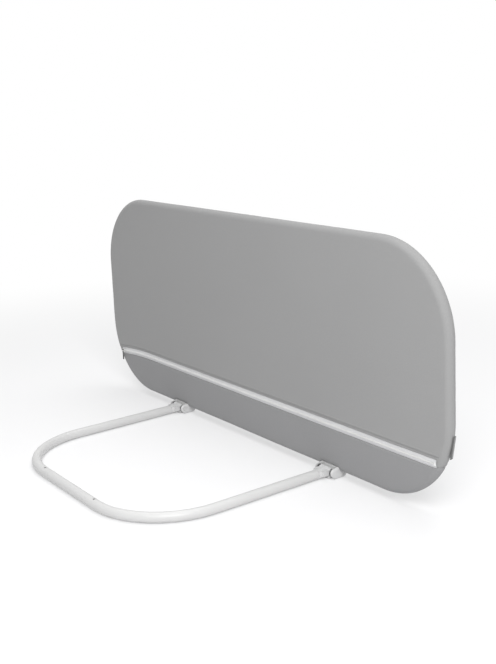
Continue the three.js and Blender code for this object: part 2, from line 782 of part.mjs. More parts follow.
// The region under the seam that parts the two inner panels
function lowerRegion(gap) {
  const reach = guardLength / 2 + overrun;
  const places = zipPlaces(zipLeftReach, zipRightReach);
  const edge = places.map((x) => new THREE.Vector2(x, zipHeight - droopAt(x) - zipBandWidth / 2 + gap));
  const points = [
    new THREE.Vector2(-reach, -overrun),
    new THREE.Vector2(reach, -overrun),
    new THREE.Vector2(reach, edge[edge.length - 1].y + seamRise),
    ...edge.reverse(),
    new THREE.Vector2(-reach, edge[edge.length - 1].y),
  ];
  const region = plate(points, 2 * rimRadius + overrun, alongRail);
  region.translate(0, rimRadius + overrun / 2, 0);
  return solidOf(region);
}

// Cuts in the bottom edge where the hinge housings reach the tube

function notches() {
  const top = housingTop + 2 * fitGap;
  const cuts = [-legOffset, legOffset].map((x) => (
    boxBetween(x - notchHalf, -rimRadius - overrun, -overrun, x + notchHalf, rimRadius + overrun, top)
  ));
  return cuts[0].add(cuts[1]);
}

function coverPieces() {
  const skin = roundedSlab(rimRadius).subtract(roundedSlab(rimRadius - fabricThickness)).subtract(notches());
  const reach = guardLength;
  const inside = boxBetween(-reach, -reach, -reach, reach, seamPlane - halfGap, reach);
  const outside = boxBetween(-reach, seamPlane + halfGap, -reach, reach, reach, reach);
  const half = zipBandWidth / 2;
  const slot = zipStrip(-half - overrun, half, zipLeftReach, zipRightReach, -2 * rimRadius, 0);
  const innerSkin = skin.intersect(inside);
  const upper = innerSkin.subtract(lowerRegion(halfGap)).subtract(solidOf(slot));
  const lower = innerSkin.intersect(lowerRegion(-halfGap));
  return [
    pieceOf('cover_inner', upper, finishes.fabric),
    pieceOf('cover_lower', lower, finishes.lowerFabric),
    pieceOf('cover_outer', skin.intersect(outside), finishes.fabric),
  ];
}

// Zip: two tapes with a coil between them, an end stop, a slider and its pull

function zipTapes() {
  const outer = zipBandWidth / 2 - fitGap;
  const inner = coilWidth / 2 + fitGap;
  const back = tapeFront + tapeThickness;
  const left = zipLeftReach - fitGap;
  const right = zipRightReach - fitGap;
  return [
    pieceOf('zip_tape_upper', zipStrip(inner, outer, left, right, tapeFront, back), finishes.tape),
    pieceOf('zip_tape_lower', zipStrip(-outer, -inner, left, right, tapeFront, back), finishes.tape),
  ];
}

function zipCoil() {
  const half = coilWidth / 2;
  const left = zipLeftReach - fitGap;
  const back = coilFront + coilThickness;
  return pieceOf('zip_coil', zipStrip(-half, half, left, coilRight, coilFront, back), finishes.coil);
}

function zipEndStop() {
  const left = coilRight + fitGap;
  const half = stopWidth / 2;
  const front = tapeFront - fitGap - stopThickness;
  const back = tapeFront - fitGap;
  const stop = boxBetween(left, front, zipHeight - half, left + stopLength, back, zipHeight + half);
  return pieceOf('zip_end_stop', stop, finishes.zincSteel);
}

// The slider stands at the drooped left end; its hook holds the pull

function zipSlider() {
  const half = sliderLength / 2;
  const wide = sliderWidth / 2;
  const narrow = wide * sliderTaperShare;
  const round = wide - narrow;
  const points = [
    new THREE.Vector2(half - round, wide), new THREE.Vector2(-half + round, narrow + round / 2),
    new THREE.Vector2(-half, narrow), new THREE.Vector2(-half, -narrow),
    new THREE.Vector2(-half + round, -narrow - round / 2), new THREE.Vector2(half - round, -wide),
    new THREE.Vector2(half, -narrow), new THREE.Vector2(half, narrow),
  ].reverse();
  const body = plate(points, sliderThickness, alongRail);
  const postHeight = pullThickness + 2 * fitGap;
  const face = -sliderThickness;
  const postEnd = face - postHeight;
  const hookEnd = postEnd - hookThickness;
  let slider = solidOf(body);
  const side = postWidth / 2;
  slider = slider.add(boxBetween(-postLength / 2, hookEnd, -side, postLength / 2, face + fitGap, side));
  slider = slider.add(boxBetween(-postLength / 2, hookEnd, -side, hookReach, postEnd, side));
  const piece = pieceOf('zip_slider', slider, finishes.coil);
  piece.position.copy(sliderPlace);
  return piece;
}

function zipPull() {
  const head = arcPoints(0, 0, pullHeadRadius, -Math.PI / 3, (4 * Math.PI) / 3, pullHeadSteps);
  const half = pullWidth / 2;
  const round = half / 2;
  const tip = [
    new THREE.Vector2(-half, round - pullLength), new THREE.Vector2(-round, -pullLength),
    new THREE.Vector2(round, -pullLength), new THREE.Vector2(half, round - pullLength),
  ];
  const outline = new THREE.Shape([...head, ...tip]);
  const eye = Math.hypot(postLength, postWidth) / 2 + fitGap;
  outline.holes.push(new THREE.Path(circlePoints(eye, eyeSides)));
  const geometry = new THREE.ExtrudeGeometry(outline, { depth: pullThickness, bevelEnabled: false });
  geometry.applyMatrix4(alongRail);
  const piece = pieceOf('zip_pull', geometry, finishes.darkTrim);
  piece.position.copy(sliderPlace);
  piece.position.y -= sliderThickness + fitGap;
  return piece;
}

// A bare fabric tag, sewn in the rim seam above the lower right corner and folded forward on the rim
function sideTag() {
  const inner = rimRadius + fitGap;
  const band = roundedSlab(inner + tagThickness).subtract(roundedSlab(inner));
  const span = boxBetween(0, -tagForward, tagBottom, guardLength, seamPlane, tagTop);
  return pieceOf('side_tag', band.intersect(span), finishes.darkTrim);
}

const baseGroup = new THREE.Group();
baseGroup.add(
  baseFrontTube(),
  baseLeg('base_leg_left', -1),
  baseLeg('base_leg_right', 1),
  snapButton('snap_button_left', -1),
  snapButton('snap_button_right', 1),
  snapSpring('snap_spring_left', -1),
  snapSpring('snap_spring_right', 1),
  legFitting('leg_fitting_left', leftHinge),
  legFitting('leg_fitting_right', rightHinge),
  fittingScrew('fitting_screw_left', -1),
  fittingScrew('fitting_screw_right', 1),
);

const hingeGroup = new THREE.Group();
hingeGroup.add(
  lockTab('lock_tab_left_outer', leftHinge, -1),
  lockTab('lock_tab_left_inner', leftHinge, 1),
  lockTab('lock_tab_right_inner', rightHinge, -1),
  lockTab('lock_tab_right_outer', rightHinge, 1),
  lockSpring('lock_spring_left_outer', leftHinge, -1),
  lockSpring('lock_spring_left_inner', leftHinge, 1),
  lockSpring('lock_spring_right_inner', rightHinge, -1),
  lockSpring('lock_spring_right_outer', rightHinge, 1),
  hingePin('hinge_pin_left', leftHinge, -1),
  hingePin('hinge_pin_right', rightHinge, 1),
  housingHalfShell('housing_front_left', leftHinge, -1, true),
  housingHalfShell('housing_front_right', rightHinge, 1, true),
  housingHalfShell('housing_back_left', leftHinge, -1, false),
  housingHalfShell('housing_back_right', rightHinge, 1, false),
  hingeLug('hinge_lug_left', leftHinge),
  hingeLug('hinge_lug_right', rightHinge),
  housingScrew('housing_screw_left_outer', leftHinge, -1),
  housingScrew('housing_screw_left_inner', leftHinge, 1),
  housingScrew('housing_screw_right_inner', rightHinge, -1),
  housingScrew('housing_screw_right_outer', rightHinge, 1),
);

const guardGroup = new THREE.Group();
guardGroup.add(
  guardSide('guard_side_left', -1),
  guardSide('guard_side_right', 1),
  guardRun('guard_top_tube', frameTop),
  guardRun('guard_bottom_tube', frameBottom),
  frameScrew('frame_screw_top_left', -1, true),
  frameScrew('frame_screw_top_right', 1, true),
  frameScrew('frame_screw_bottom_left', -1, false),
  frameScrew('frame_screw_bottom_right', 1, false),
  ...coverPieces(),
  ...zipTapes(),
  zipCoil(),
  zipEndStop(),
  zipSlider(),
  zipPull(),
  sideTag(),
);

// The pieces are placed from the guard's middle plane, and the whole is centred on its footprint
const bedGuard = new THREE.Group();
bedGuard.add(baseGroup, hingeGroup, guardGroup);
bedGuard.position.y = (frontReach - rimRadius) / 2;

export default bedGuard;
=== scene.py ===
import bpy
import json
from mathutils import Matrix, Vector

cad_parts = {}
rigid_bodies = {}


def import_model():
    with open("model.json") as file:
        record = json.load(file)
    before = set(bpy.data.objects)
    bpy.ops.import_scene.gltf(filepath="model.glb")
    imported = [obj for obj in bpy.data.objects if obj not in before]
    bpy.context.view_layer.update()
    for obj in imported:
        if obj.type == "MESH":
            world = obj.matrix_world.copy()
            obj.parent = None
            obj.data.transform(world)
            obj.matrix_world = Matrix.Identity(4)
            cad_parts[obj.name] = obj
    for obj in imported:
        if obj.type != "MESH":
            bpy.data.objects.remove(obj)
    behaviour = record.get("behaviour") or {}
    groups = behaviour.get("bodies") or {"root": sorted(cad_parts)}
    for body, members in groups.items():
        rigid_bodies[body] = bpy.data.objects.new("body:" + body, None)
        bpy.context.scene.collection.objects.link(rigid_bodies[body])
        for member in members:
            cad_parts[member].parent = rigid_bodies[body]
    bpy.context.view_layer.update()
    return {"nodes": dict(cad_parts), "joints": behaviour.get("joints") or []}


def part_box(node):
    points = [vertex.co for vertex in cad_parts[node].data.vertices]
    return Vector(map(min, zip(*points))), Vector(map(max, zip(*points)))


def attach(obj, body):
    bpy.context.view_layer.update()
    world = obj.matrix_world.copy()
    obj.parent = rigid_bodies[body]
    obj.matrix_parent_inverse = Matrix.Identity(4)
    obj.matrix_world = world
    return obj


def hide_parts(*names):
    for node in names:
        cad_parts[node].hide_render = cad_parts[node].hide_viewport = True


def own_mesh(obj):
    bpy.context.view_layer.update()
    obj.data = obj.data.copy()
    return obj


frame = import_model()

# Folding bed guard rail: a sewn cover, zip and trim dressed over the steel and plastic of the CAD frame.
# X runs along the rail, -Y points to the bed and Z is up. The frame is in metres, but each new piece
# is drawn in millimetres from the guard's middle plane and scaled once.
import json
import math
import bmesh
import bpy
from mathutils import Matrix, Vector, noise

print("frame loaded:", len(frame["nodes"]), "nodes")


# Small helpers
def linearColour(hexValue):
    channels = [int(hexValue[i:i + 2], 16) / 255 for i in (1, 3, 5)]
    return [c / 12.92 if c <= 0.04045 else ((c + 0.055) / 1.055) ** 2.4 for c in channels] + [1.0]


def addNode(tree, kind, settings=None, links=None):
    node = tree.nodes.new(kind)
    for name, value in (settings or {}).items():
        if isinstance(name, str) and hasattr(node, name):
            setattr(node, name, value)
        else:
            node.inputs[name].default_value = value
    for name, socket in (links or {}).items():
        tree.links.new(socket, node.inputs[name])
    return node


def newMaterial(name):
    material = bpy.data.materials.new(name)
    material.use_nodes = True
    material.node_tree.nodes.clear()
    return material, material.node_tree


def bandScale(periodMm):
    # the wave texture's scale for bands of that period: at scale 1 they come round every 314 mm
    return 314 / periodMm


def grainScale(sizeMm):
    # the noise texture's scale for spots of about that size
    return 1000 / sizeMm


def mm(value):
    return value / 1000


def smooth(share):
    share = min(max(share, 0.0), 1.0)
    return share * share * (3 - 2 * share)


def addObject(name, data):
    added = bpy.data.objects.new(name, data)
    bpy.context.scene.collection.objects.link(added)
    return added


lowTube, highTube = (Vector(corner) * 1000 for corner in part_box("guard_top_tube"))
planeY = (lowTube.y + highTube.y) / 2


def finishPiece(name, work, materials, body):
    # millimetres from the middle plane to metres in the frame, then one object at the origin
    bmesh.ops.translate(work, verts=work.verts, vec=(0, planeY, 0))
    bmesh.ops.scale(work, verts=work.verts, vec=(0.001, 0.001, 0.001))
    for face in work.faces:
        face.smooth = True
    mesh = bpy.data.meshes.new(name)
    work.to_mesh(mesh)
    work.free()
    for material in materials:
        mesh.materials.append(material)
    piece = addObject(name, mesh)
    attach(piece, body)
    return piece


def thicken(piece, thicknessMm, offset=-1.0):
    shell = piece.modifiers.new("clothThickness", "SOLIDIFY")
    shell.thickness = mm(thicknessMm)
    shell.offset = offset
    shell.use_rim = True


# Materials
# Real threads of the cloth are about 0.4 mm; they are drawn about twice as coarse so that they show.
weave = {"slubMm": 10 / 9, "cloudMm": 250, "cloudShare": 0.25, "distortion": 0.5, "darkFrom": 0.3,
         "bump": 0.3}


def wovenPolyester(name, colour, shade, threadMm=0.9, grainShare=0.3, bumpMm=0.12):
    # plain-woven polyester, piece-dyed: an even matte grey with a fine cross grain and a faint sheen
    material, tree = newMaterial(name)
    place = addNode(tree, "ShaderNodeTexCoord").outputs["Object"]
    threads = [addNode(tree, "ShaderNodeTexWave",
                       {"bands_direction": direction, "Scale": bandScale(threadMm),
                        "Distortion": weave["distortion"], "Detail": 1.0}, {"Vector": place})
               for direction in ("X", "Z")]
    grain = addNode(tree, "ShaderNodeMath", {"operation": "MULTIPLY"},
                    {0: threads[0].outputs["Fac"], 1: threads[1].outputs["Fac"]})
    slub = addNode(tree, "ShaderNodeTexNoise",
                   {"Scale": grainScale(weave["slubMm"]), "Detail": 3.0, "Roughness": 0.6},
                   {"Vector": place})
    cloud = addNode(tree, "ShaderNodeTexNoise", {"Scale": grainScale(weave["cloudMm"]), "Detail": 2.0},
                    {"Vector": place})
    fine = addNode(tree, "ShaderNodeMath", {"operation": "MULTIPLY_ADD", 1: grainShare},
                   {0: grain.outputs[0], 2: slub.outputs["Fac"]})
    tone = addNode(tree, "ShaderNodeMath", {"operation": "MULTIPLY_ADD", 1: weave["cloudShare"]},
                   {0: cloud.outputs["Fac"], 2: fine.outputs[0]})
    ramp = addNode(tree, "ShaderNodeValToRGB", {}, {"Fac": tone.outputs[0]})
    ramp.color_ramp.elements[0].position = weave["darkFrom"]
    ramp.color_ramp.elements[0].color = linearColour(shade)
    ramp.color_ramp.elements[1].color = linearColour(colour)
    bump = addNode(tree, "ShaderNodeBump", {"Strength": weave["bump"], "Distance": mm(bumpMm)},
                   {"Height": grain.outputs[0]})
    shader = addNode(tree, "ShaderNodeBsdfPrincipled",
                     {"Roughness": 0.85, "Specular IOR Level": 0.25, "Sheen Weight": 0.12,
                      "Sheen Roughness": 0.5},
                     {"Base Color": ramp.outputs["Color"], "Normal": bump.outputs["Normal"]})
    addNode(tree, "ShaderNodeOutputMaterial", {}, {"Surface": shader.outputs[0]})
    return material


def mottled(name, light, dark, patchMm, grainMm, bumpMm, shine):
    # a solid material whose colour drifts a little over patches, with a fine surface grain
    material, tree = newMaterial(name)
    place = addNode(tree, "ShaderNodeTexCoord").outputs["Object"]
    grain = addNode(tree, "ShaderNodeTexNoise", {"Scale": grainScale(grainMm), "Detail": 2.0},
                    {"Vector": place})
    patch = addNode(tree, "ShaderNodeTexNoise", {"Scale": grainScale(patchMm), "Detail": 3.0},
                    {"Vector": place})
    ramp = addNode(tree, "ShaderNodeValToRGB", {}, {"Fac": patch.outputs["Fac"]})
    ramp.color_ramp.elements[0].color = linearColour(dark)
    ramp.color_ramp.elements[1].color = linearColour(light)
    bump = addNode(tree, "ShaderNodeBump", {"Strength": 0.2, "Distance": mm(bumpMm)},
                   {"Height": grain.outputs["Fac"]})
    shader = addNode(tree, "ShaderNodeBsdfPrincipled", shine,
                     {"Base Color": ramp.outputs["Color"], "Normal": bump.outputs["Normal"]})
    addNode(tree, "ShaderNodeOutputMaterial", {}, {"Surface": shader.outputs[0]})
    return material


fabric = wovenPolyester("wovenPolyester", "#999999", "#8f8f8f")
# the same cloth made darker for the strip under the zip: painted shade of that strip
lowerFabricPaintedShade = wovenPolyester("wovenPolyesterLower", "#929293", "#8a8a8b")
tapeWeave = wovenPolyester("wovenZipTape", "#d7d7d8", "#c8c8ca", threadMm=1.1, grainShare=0.5, bumpMm=0.2)
# polyester powder coat baked on steel: a pale satin skin with very shallow orange peel
coat = mottled("powderCoatedSteel", "#cbcbca", "#c5c5c5", patchMm=80, grainMm=2.4, bumpMm=0.05,
               shine={"Roughness": 0.4, "Specular IOR Level": 0.5})
# injection-moulded polypropylene with a fine spark texture and soft highlights
plastic = mottled("mouldedPolypropylene", "#cdcdcd", "#c6c6c6", patchMm=25, grainMm=0.7, bumpMm=0.06,
                  shine={"Roughness": 0.48, "IOR": 1.49})
# the same plastic made dark for the lock tabs: painted shade for the dark slots beside the barrels
tabPlasticPaintedShade = mottled("mouldedPolypropyleneDark", "#4c4c4e", "#434345", patchMm=25, grainMm=0.7,
                      bumpMm=0.06, shine={"Roughness": 0.5, "IOR": 1.49})
# nylon, drawn for the coil and moulded for the slider and end stop: smooth, slightly glassy white
nylon = mottled("nylonMonofilament", "#e6e6e5", "#dcdcdb", patchMm=6, grainMm=0.8, bumpMm=0.02,
                shine={"Roughness": 0.35, "IOR": 1.53})
# barrel-plated zinc on steel: a cool, finely mottled metal
zinc = mottled("zincPlatedSteel", "#c4c6c8", "#a6a8aa", patchMm=1.6, grainMm=0.5, bumpMm=0.02,
               shine={"Roughness": 0.34, "Metallic": 1.0})
# steel of the snap buttons, drawn as a dark, dull metal
blackSteel = mottled("blackenedSteel", "#2c2c2e", "#202022", patchMm=1.6, grainMm=0.5, bumpMm=0.02,
                     shine={"Roughness": 0.5, "Metallic": 1.0})
# soft grey rubber of the zip pull
rubber = mottled("mouldedRubber", "#606060", "#545454", patchMm=4, grainMm=0.5, bumpMm=0.05,
                 shine={"Roughness": 0.7})
# spun polyester sewing thread, a shade lighter than the cloth
thread = mottled("sewingThread", "#b2b2b2", "#a2a2a2", patchMm=1.2, grainMm=0.3, bumpMm=0.05,
                 shine={"Roughness": 0.8})
# ribbon of the bare tag: dark woven polyester with a paler stripe in it
tagDark = wovenPolyester("tagRibbonDark", "#6a6a6a", "#585858", threadMm=0.7, grainShare=0.4, bumpMm=0.1)
tagPale = wovenPolyester("tagRibbonPale", "#969696", "#888888", threadMm=0.7, grainShare=0.4, bumpMm=0.1)
print("materials made")

# CAD nodes by the start of their names; screws and springs take the zinc
finishes = {("base_front", "base_leg", "guard_", "hinge_lug", "hinge_pin"): coat,
            ("leg_fitting", "housing_front", "housing_back"): plastic,
            ("lock_tab",): tabPlasticPaintedShade,
            ("snap_button",): blackSteel,
            ("cover_inner", "cover_outer"): fabric,
            ("cover_lower",): lowerFabricPaintedShade,
            ("zip_tape",): tapeWeave,
            ("zip_coil", "zip_slider", "zip_end_stop"): nylon,
            ("zip_pull",): rubber,
            ("side_tag",): tagDark}
for name, node in frame["nodes"].items():
    chosen = [finish for starts, finish in finishes.items() if name.startswith(starts)]
    node.data.materials[0] = chosen[0] if chosen else zinc

# The CAD solids' round surfaces are shaded round, and their edges stay sharp
shading = {"weldMm": 0.002, "sharpDegrees": 32}
rounding = bpy.data.node_groups.new("shadeRounds", "GeometryNodeTree")
for direction in ("INPUT", "OUTPUT"):
    rounding.interface.new_socket("Geometry", in_out=direction, socket_type="NodeSocketGeometry")
source = addNode(rounding, "NodeGroupInput")
welded = addNode(rounding, "GeometryNodeMergeByDistance", {"Distance": mm(shading["weldMm"])},
                 {"Geometry": source.outputs[0]})
angle = addNode(rounding, "GeometryNodeInputMeshEdgeAngle")
sharp = addNode(rounding, "FunctionNodeCompare",
                {"data_type": "FLOAT", "operation": "GREATER_THAN",
                 1: math.radians(shading["sharpDegrees"])}, {0: angle.outputs["Unsigned Angle"]})
rounded = addNode(rounding, "GeometryNodeSetShadeSmooth", {"domain": "FACE", "Shade Smooth": True},
                  {"Geometry": welded.outputs[0]})
edged = addNode(rounding, "GeometryNodeSetShadeSmooth", {"domain": "EDGE", "Shade Smooth": False},
                {"Geometry": rounded.outputs[0], "Selection": sharp.outputs[0]})
addNode(rounding, "NodeGroupOutput", {}, {"Geometry": edged.outputs[0]})
for node in frame["nodes"].values():
    node.modifiers.new("shadeRounds", "NODES").node_group = rounding

# Springs of the lock tabs and snap buttons, which shorten as their tab or button is pressed in: each is
# copied onto its joint's parent body, and its CAD node is hidden
for joint in frame["joints"]:
    for entry in joint.get("deforming_nodes", []):
        letter = entry["mode"][-1]  # the axis that it shortens along
        along = "xyz".index(letter)
        low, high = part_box(entry["node"])
        anchor = (low + high) / 2
        anchor[along] = entry["fixed_end_" + letter + "_m"]
        reach = max(abs(low[along] - anchor[along]), abs(high[along] - anchor[along]))
        kind, _, place = entry["node"].partition("_spring_")
        spring = addObject(kind + "Spring_" + place, frame["nodes"][entry["node"]].data.copy())
        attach(spring, joint["parent"])
        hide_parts(entry["node"])
        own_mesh(spring)
print("springs made")

# Cover: one rounded envelope, cut along its seams into three sheets of cloth. Its frontY tells the front
# face from the rim, overrun takes cuts past the rim's seam, and near is how close counts as in a plane.
cover = {"length": 1100.0, "height": 450.0, "floorGap": 13.0, "thickness": 22.0, "corner": 158.0,
         "rim": 10.9, "cornerSegments": 28, "rimSegments": 8, "cell": 6.5, "seamY": 7.0, "frontY": -5.0,
         "cloth": 0.9, "overrun": 2.0, "near": 0.001}
zipper = {"middle": 98.5, "half": 7.5, "left": -516.0, "right": 521.0, "droop": 9.0, "droopFrom": -380.0,
          "rise": 9.0, "pastRim": 5.0, "hem": 6.4}
hinges = {"reach": 253.0, "notchHalf": 25.1, "notchTop": 22.1, "cutTop": 40.0}
halfLength = cover["length"] / 2
flatX = halfLength - cover["corner"]
flatLow = cover["floorGap"] + cover["corner"]
flatHigh = cover["floorGap"] + cover["height"] - cover["corner"]
middleZ = cover["floorGap"] + cover["height"] / 2
halfThick = cover["thickness"] / 2
skeleton = cover["corner"] - halfThick  # corner radius of the line from which the rim rounds off
seamLine = zipper["middle"] - zipper["half"]
hemLine = zipper["middle"] + zipper["half"]
foldLine = hemLine + zipper["hem"]


def rimDistance(x, z):
    # how far a point lies past the line from which the rim rounds off
    across = max(abs(x) - flatX, 0.0)
    upward = flatLow - z if z < flatLow else max(z - flatHigh, 0.0)
    return math.hypot(across, upward) - skeleton


def faceDepth(x, z):
    # how far the front face stands before the middle plane
    past = max(rimDistance(x, z), 0.0)
    return halfThick - cover["rim"] + math.sqrt(max(cover["rim"] ** 2 - past ** 2, 0.0))


def droopAt(x):
    # how far the zip hangs down toward its left end
    share = min(max((zipper["droopFrom"] - x) / (zipper["droopFrom"] - zipper["left"]), 0.0), 1.0)
    return zipper["droop"] * share ** 2


def seamAt(x):
    # the seam under the zip, which rises to the rim past the zip's right end
    past = max(x - zipper["right"], 0.0)
    return seamLine + zipper["rise"] * past / (halfLength - zipper["right"] + zipper["pastRim"])


def steps(low, high, size):
    # even places from low to high, about that size apart
    count = max(round((high - low) / size), 1)
    return [low + (high - low) * i / count for i in range(count + 1)]


def isFlat(face):
    return all(abs(v.co.y) > halfThick - cover["near"] for v in face.verts)


def isFront(face):
    return all(v.co.y < cover["near"] - halfThick for v in face.verts)


def overHinge(point, height, margin=0.0):
    # whether a point lies in a hinge's notch, widened by a margin and taken up to a height
    return abs(abs(point.x) - hinges["reach"]) < hinges["notchHalf"] + margin and point.z < height


def between(x=(-math.inf, math.inf), y=(-math.inf, math.inf), z=(-math.inf, math.inf)):
    # a test for faces whose middle lies in these ranges
    def test(face):
        middle = face.calc_center_median()
        return all(low < value < high for value, (low, high) in zip(middle, (x, y, z)))
    return test


def cut(work, point, normal, wanted=None):
    # through the whole cover, or only through the wanted faces
    if wanted is None:
        geom = work.verts[:] + work.edges[:] + work.faces[:]
    else:
        faces = [f for f in work.faces if wanted(f)]
        edges = list({e for f in faces for e in f.edges})
        geom = faces + edges + list({v for f in faces for v in f.verts})
    bmesh.ops.bisect_plane(work, geom=geom, dist=cover["near"], plane_co=point, plane_no=normal)


envelope = bmesh.new()
size = Matrix.Diagonal((cover["length"], cover["thickness"], cover["height"], 1))
bmesh.ops.create_cube(envelope, size=1.0, matrix=Matrix.Translation((0, 0, middleZ)) @ size)
corners = [e for e in envelope.edges if abs(e.verts[0].co.y - e.verts[1].co.y) > cover["near"]]
bmesh.ops.bevel(envelope, geom=corners, offset=cover["corner"], offset_type="OFFSET", affect="EDGES",
                segments=cover["cornerSegments"], profile=0.5, material=-1)
rims = [e for e in envelope.edges if abs(e.verts[0].co.y - e.verts[1].co.y) < cover["near"]]
bmesh.ops.bevel(envelope, geom=rims, offset=cover["rim"], offset_type="OFFSET", affect="EDGES",
                segments=cover["rimSegments"], profile=0.5, material=-1)

# cells of cloth; beside the corners only the flat faces are cut, because the rim has its own rows there
for side in (-1, 1):
    for x in steps(flatX, flatX + skeleton, cover["cell"])[:-1]:
        cut(envelope, (side * x, 0, 0), (1, 0, 0), isFlat)
lowCells = steps(flatLow - skeleton, flatLow, cover["cell"])[1:]
highCells = steps(flatHigh, flatHigh + skeleton, cover["cell"])[:-1]
for z in lowCells + highCells:
    cut(envelope, (0, 0, z), (0, 0, 1), isFlat)
for z in steps(flatLow, flatHigh, cover["cell"])[1:-1]:
    cut(envelope, (0, 0, z), (0, 0, 1))
for x in steps(-flatX, flatX, cover["cell"])[1:-1]:
    cut(envelope, (x, 0, 0), (1, 0, 0))
print("cover cut in cells:", len(envelope.faces))

# rows for the creases beside the zip, measured from the seam, the hem and the hem's folded edge
creases = {"underSeam": (4.5, 2.4, 0.9), "overHem": (0.9, 2.4), "atFold": (-1.0, 0.0, 3.0)}
creaseRows = [seamLine - gap for gap in creases["underSeam"]]
creaseRows += [hemLine + gap for gap in creases["overHem"]]
creaseRows += [foldLine + gap for gap in creases["atFold"]]
for z in creaseRows:
    cut(envelope, (0, 0, z), (0, 0, 1), isFront)

# the zip's opening, the seam with its rise to the rim, the notches over the hinges and the rim's seam
openingZone = {"right": (50.0, 150.0), "left": (60.0, 130.0)}  # heights that the cuts at its ends take in
toRimSeam = (-math.inf, cover["seamY"])
pastRimSeam = (-math.inf, cover["seamY"] + cover["overrun"])
besideZip = between(z=openingZone["left"])
cut(envelope, (zipper["right"], 0, 0), (1, 0, 0), between(y=toRimSeam, z=openingZone["right"]))
cut(envelope, (zipper["left"], 0, 0), (1, 0, 0), lambda f: isFront(f) and besideZip(f))
cut(envelope, (0, 0, hemLine), (0, 0, 1), isFront)
cut(envelope, (0, 0, seamLine), (0, 0, 1), between(x=(-math.inf, zipper["right"]), y=pastRimSeam))
slant = Vector((seamAt(halfLength) - seamAt(zipper["right"]), 0, zipper["right"] - halfLength))
cut(envelope, (zipper["right"], 0, seamLine), slant.normalized(),
    between(x=(zipper["right"], math.inf), y=pastRimSeam))
for side in (-1, 1):
    for edge in (-1, 1):
        cut(envelope, (side * hinges["reach"] + edge * hinges["notchHalf"], 0, 0), (1, 0, 0),
            between(z=(-math.inf, hinges["cutTop"])))
cut(envelope, (0, 0, hinges["notchTop"]), (0, 0, 1),
    lambda f: overHinge(f.calc_center_median(), hinges["cutTop"]))
cut(envelope, (0, cover["seamY"], 0), (0, 1, 0))


def regionOf(face):
    middle = face.calc_center_median()
    if overHinge(middle, hinges["notchTop"]):
        return "notch"
    if middle.y > cover["seamY"]:
        return "outer"
    if middle.z < seamAt(middle.x):
        return "lower"
    inZip = zipper["left"] < middle.x < zipper["right"] and middle.y < cover["frontY"]
    return "slot" if inZip and middle.z < hemLine else "inner"


regions = {}
for face in envelope.faces:
    regions.setdefault(regionOf(face), []).append(face)
sewn = set()
for edge in envelope.edges:
    if len({regionOf(f) for f in edge.link_faces}) > 1:
        sewn.update(edge.verts)

# How far the cloth stands off its smooth form. Spans are the lengths of its waves, which fade with the
# distance from the zip and from the rim; a seed stands in for the direction that has no span.
relief = {"broad": 0.5, "broadSpans": (190, 40, 130), "deepest": -0.25, "proudest": 1.05, "groove": 0.6,
          "pucker": 0.3, "puckerReach": 40, "zipSpans": (9, 1, 40), "zipSeed": 3.1, "zipFade": 12,
          "rimSpans": (13, 30, 1), "rimSeed": 7.7, "rimFade": 16, "rimTurn": 160,
          "hemStep": 0.85, "hemFade": 14, "hemReach": 60, "hemTuck": 0.6, "hemEnd": 8, "onRow": 0.2}


def wave(values, spans):
    return noise.noise(Vector([value / span for value, span in zip(values, spans)]))


envelope.normal_update()
moves = {}
for vert in envelope.verts:
    x, y, z = vert.co
    push = max(relief["broad"] * wave((x, y, z), relief["broadSpans"]), relief["deepest"])
    toZip = min(abs(z - seamLine), abs(z - hemLine))
    if y < 0 and toZip < relief["puckerReach"]:
        fade = math.exp(-toZip / relief["zipFade"])
        push += relief["pucker"] * fade * wave((x, relief["zipSeed"], z), relief["zipSpans"])
    past = rimDistance(x, z)
    if past > -relief["puckerReach"]:
        fade = math.exp(-abs(past) / relief["rimFade"])
        around = math.atan2(z - middleZ, abs(x) - flatX) * relief["rimTurn"] + x
        push += relief["pucker"] * fade * wave((around, y, relief["rimSeed"]), relief["rimSpans"])
    aboveHem = z - foldLine
    if y < 0 and past < relief["hemEnd"]:
        # the hem's folded edge stands proud over the strip that carries the zip, over a sunk line
        if abs(aboveHem - creases["atFold"][0]) < relief["onRow"]:
            push -= relief["hemTuck"]
        if -relief["onRow"] < aboveHem < relief["hemReach"]:
            ending = smooth((relief["hemEnd"] - past) / relief["hemEnd"])
            push += relief["hemStep"] * math.exp(-aboveHem / relief["hemFade"]) * ending
    if vert in sewn:
        push -= relief["groove"]
    moves[vert] = vert.normal * min(push, relief["proudest"])
for vert, move in moves.items():
    vert.co += move

# The zip's left end droops, and the cloth round it follows, less and less up and down from the zip
follow = {"low": 20.0, "high": 200.0, "fadeUp": 80.0, "fadeDown": 60.0, "behindSeam": 0.5,
          "rimBlend": 15.0}
for vert in envelope.verts:
    x, y, z = vert.co
    if x > zipper["droopFrom"] or y > cover["seamY"] + follow["behindSeam"]:
        continue
    if not follow["low"] < z < follow["high"]:
        continue
    above = z - zipper["middle"]
    reach = follow["fadeUp"] if above > 0 else follow["fadeDown"]
    newX = x
    newZ = z - droopAt(x) * (1 - smooth((abs(above) - zipper["half"]) / reach))
    if newZ < flatLow and x < -flatX:
        # near the rim a point slides along the corner's arc
        past = rimDistance(x, z)
        onArc = -flatX - math.sqrt(max((skeleton + past) ** 2 - (flatLow - newZ) ** 2, 0.0))
        newX = x + (onArc - x) * smooth((past + follow["rimBlend"]) / follow["rimBlend"])
    if y < cover["frontY"]:
        y += faceDepth(x, z) - faceDepth(newX, newZ)
    vert.co = (newX, y, newZ)

